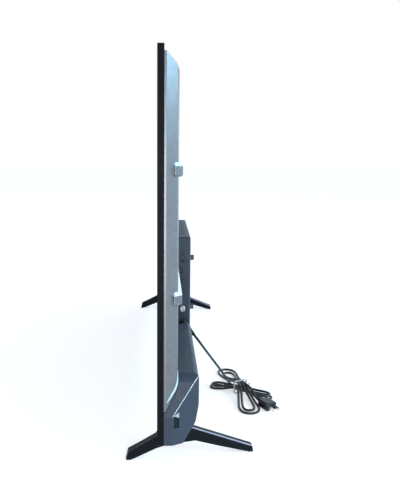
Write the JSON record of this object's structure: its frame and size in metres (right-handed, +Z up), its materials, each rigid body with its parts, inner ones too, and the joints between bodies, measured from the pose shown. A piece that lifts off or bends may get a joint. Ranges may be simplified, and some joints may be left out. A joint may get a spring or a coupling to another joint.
{
  "type": "flat screen tv",
  "caption": "Flat television with thin bezel, ribbed metal back, low rear housing with electronics box, blade feet, wall-mount spacers and tied mains cord.",
  "frame": {"origin": "On the standing surface, under the middle of the set and half way between the front and rear tips of the feet.", "axes": "+X along the screen to the right as seen from the front, +Y from the screen to the back, +Z up."},
  "size_m": [0.966, 0.2661, 0.606],
  "materials": {
    "bezel_plastic": "satin black moulded plastic",
    "cover_plastic": "finely textured black plastic",
    "screen_glass": "dark anti-glare glass",
    "rear_glass": "dark glass",
    "frame_plastic": "black moulded plastic",
    "film_white": "translucent film",
    "reflector_white": "white reflector",
    "tray_metal": "silver-grey coated steel",
    "strip_board": "white coated aluminium strip",
    "lens_clear": "clear moulded lens",
    "post_white": "white plastic",
    "circuit_green": "green coated board",
    "ribbon_amber": "amber flexible circuit",
    "chip_black": "black moulded chips",
    "fin_metal": "bare aluminium",
    "socket_metal": "nickel plated steel",
    "jack_plastic": "black plastic",
    "power_part": "coated windings and cases",
    "capacitor_sleeve": "dark sleeves",
    "screw_steel": "zinc plated steel",
    "wire_plastic": "soft insulated wire",
    "speaker_plastic": "black plastic box",
    "speaker_cone": "black paper cone",
    "window_dark": "dark infra-red window",
    "button_plastic": "black plastic",
    "mount_steel": "zinc plated steel",
    "foot_plastic": "fine-grained black plastic",
    "pad_rubber": "black rubber",
    "boot_rubber": "black flexible boot",
    "cord_sheath": "black soft sheath",
    "tie_plastic": "plastic covered wire",
    "plug_plastic": "black moulded plug",
    "blade_metal": "nickel plated brass"
  },
  "bodies": {
    "set": {"front_bezel": "bezel_plastic", "lcd_front_glass": "screen_glass", "lcd_rear_glass": "rear_glass", "panel_frame": "frame_plastic", "diffuser_sheet": "film_white", "prism_sheet": "film_white", "diffuser_plate": "film_white", "support_posts": "post_white", "reflector_sheet": "reflector_white", "led_strips": "strip_board", "led_lenses": "lens_clear", "rear_tray": "tray_metal", "source_boards": "circuit_green", "panel_ribbons": "ribbon_amber", "screen_cable": "ribbon_amber", "board_stands": "screw_steel", "main_board": "circuit_green", "main_board_chips": "chip_black", "main_heatsink": "fin_metal", "wifi_module": "socket_metal", "hdmi_sockets": "socket_metal", "usb_socket": "socket_metal", "audio_jacks": "jack_plastic", "antenna_socket": "socket_metal", "power_board": "circuit_green", "power_parts": "power_part", "power_transformer": "power_part", "power_capacitors": "capacitor_sleeve", "board_screws": "screw_steel", "led_cable": "wire_plastic", "mains_leads": "wire_plastic", "speaker_boxes": "speaker_plastic", "speaker_drivers": "speaker_cone", "speaker_wires": "wire_plastic", "remote_board": "circuit_green", "remote_window": "window_dark", "button_switch": "circuit_green", "rear_cover": "cover_plastic", "cover_screws": "screw_steel", "wall_mount_straps": "mount_steel", "wall_mount_spacers": "mount_steel", "right_foot": "foot_plastic", "left_foot": "foot_plastic", "foot_pads": "pad_rubber", "foot_screws": "screw_steel", "foot_brackets": "mount_steel", "cord_boot": "boot_rubber", "cord_lead": "cord_sheath", "cord_hank": "cord_sheath", "cord_tie": "tie_plastic", "plug_body": "plug_plastic", "plug_blades": "blade_metal"},
    "button": {"power_button": "button_plastic"}
  },
  "joints": [
    {"name": "power_button_press", "type": "slide", "parent": "set", "child": "button", "axis": [0, 0, 1], "range_m": [0, 0.0008], "stiffness_N_per_m": 1500}
  ]
}
